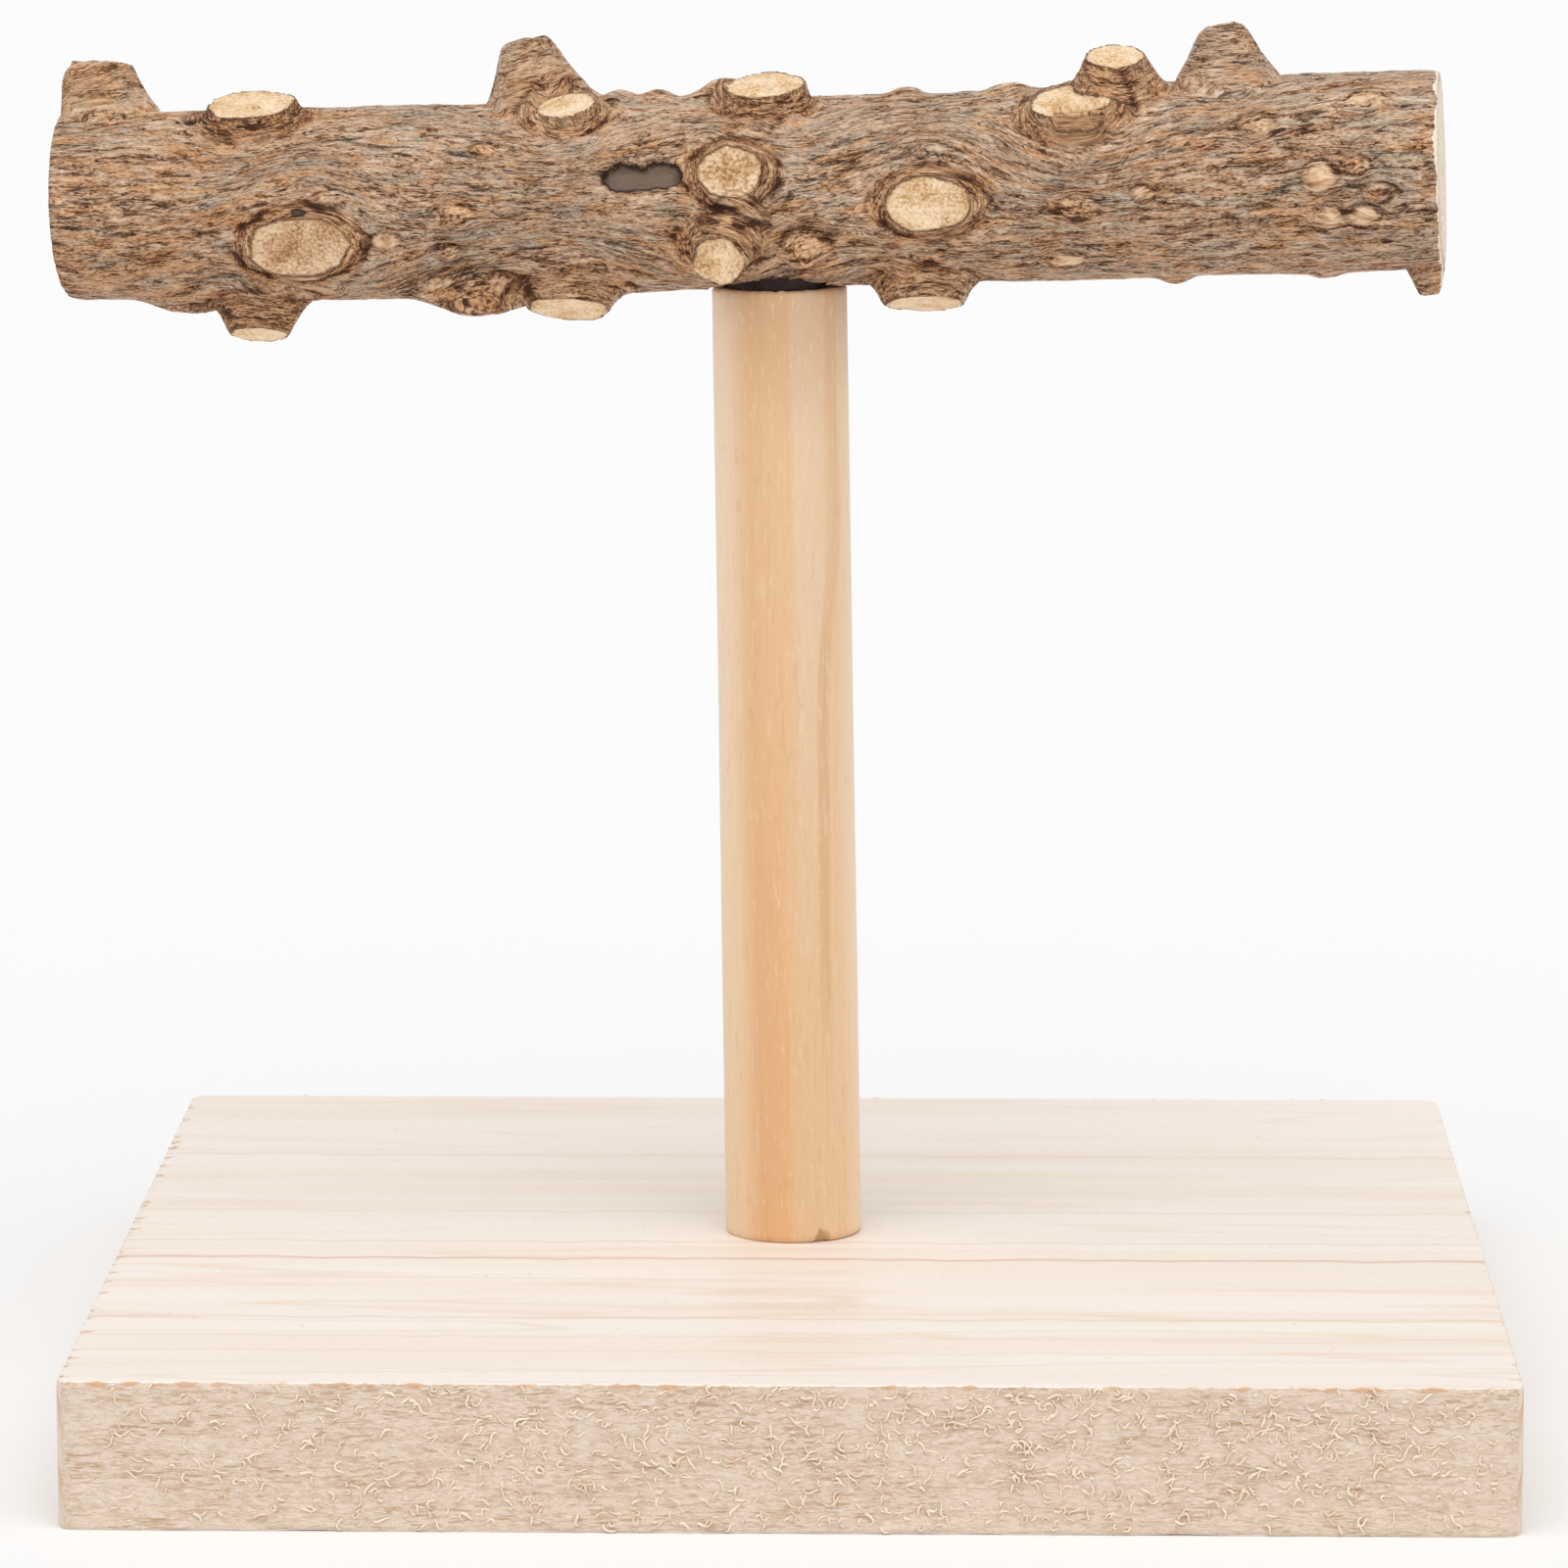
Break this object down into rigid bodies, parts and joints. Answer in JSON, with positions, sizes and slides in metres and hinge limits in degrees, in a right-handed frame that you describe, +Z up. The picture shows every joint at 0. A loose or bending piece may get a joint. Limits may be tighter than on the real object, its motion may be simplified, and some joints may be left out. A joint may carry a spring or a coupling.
{
  "type": "bird training stand",
  "caption": "T-shaped table stand for a pet bird: square wooden base, round post and a bark-covered branch with sawn twig stubs as its perch, which turns on the post.",
  "frame": {"origin": "middle of the base board's underside, which rests on the table", "axes": "+Z up, +X along the base board's width and nearly along the perch, the pictured front towards -Y"},
  "size_m": [0.1572, 0.15, 0.1498],
  "materials": {
    "base_wood": "planed top, sawn edges, bare",
    "post_wood": "turned pine dowel, bare",
    "branch_wood": "sawn, bare",
    "branch_bark": "rough natural bark",
    "zinc_steel": "zinc plated",
    "dark_steel": "blackened"
  },
  "bodies": {
    "stand": {"base_board": "base_wood", "post": "post_wood", "base_screw": "zinc_steel", "hanger_bolt": "zinc_steel"},
    "perch": {"perch_wood": "branch_wood", "perch_bark": "branch_bark", "insert_nut": "dark_steel"}
  },
  "joints": [
    {"name": "perch_swivel", "type": "hinge", "parent": "stand", "child": "perch", "pos_m": [-0.00253, 0, 0.12079], "axis": [-0.015, 0, 0.9999], "range_deg": [-90, 90]}
  ]
}
